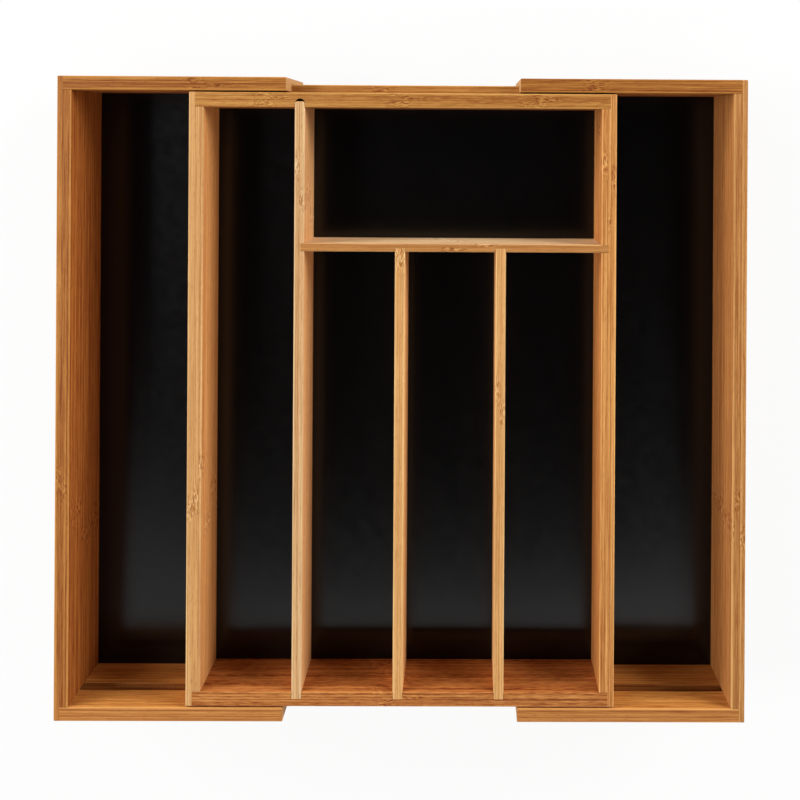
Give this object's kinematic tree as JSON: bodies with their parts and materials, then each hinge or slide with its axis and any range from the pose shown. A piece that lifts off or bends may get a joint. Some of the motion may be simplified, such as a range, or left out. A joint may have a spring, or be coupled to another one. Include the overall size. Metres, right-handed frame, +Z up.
{
  "type": "expanding cutlery tray",
  "caption": "Bamboo cutlery tray for a drawer: a divided centre tray between two outer trays that slide out on runners to widen it.",
  "frame": {"origin": "on the drawer's floor, under the middle of the tray as it stands pulled out", "axes": "+X across the tray, the way it expands; +Y from front to rear; +Z up from the drawer's floor"},
  "size_m": [0.4878, 0.455, 0.06],
  "materials": {
    "outer_bamboo": "laminated caramel bamboo, sanded, clear satin lacquer",
    "centre_bamboo": "laminated bamboo, sanded, clear satin lacquer",
    "divider_bamboo": "pale laminated bamboo, sanded, clear satin lacquer",
    "runner_bamboo": "plain bamboo strip, sanded",
    "black_panel": "thin fibreboard with a smooth satin black face"
  },
  "bodies": {
    "centre_tray": {"centre_left_wall": "centre_bamboo", "centre_right_wall": "centre_bamboo", "centre_front_wall": "centre_bamboo", "centre_rear_wall": "centre_bamboo", "front_runner": "runner_bamboo", "rear_runner": "runner_bamboo", "long_divider": "divider_bamboo", "cross_divider": "divider_bamboo", "short_divider_left": "divider_bamboo", "short_divider_right": "divider_bamboo", "centre_base": "black_panel"},
    "left_tray": {"left_end_wall": "outer_bamboo", "left_front_rail": "outer_bamboo", "left_rear_rail": "outer_bamboo", "left_base": "black_panel"},
    "right_tray": {"right_end_wall": "outer_bamboo", "right_front_rail": "outer_bamboo", "right_rear_rail": "outer_bamboo", "right_base": "black_panel"}
  },
  "joints": [
    {"name": "left_slide", "type": "slide", "parent": "centre_tray", "child": "left_tray", "axis": [-1, 0, 0], "range_m": [-0.0825, 0]},
    {"name": "right_slide", "type": "slide", "parent": "centre_tray", "child": "right_tray", "axis": [1, 0, 0], "range_m": [-0.0825, 0]}
  ]
}
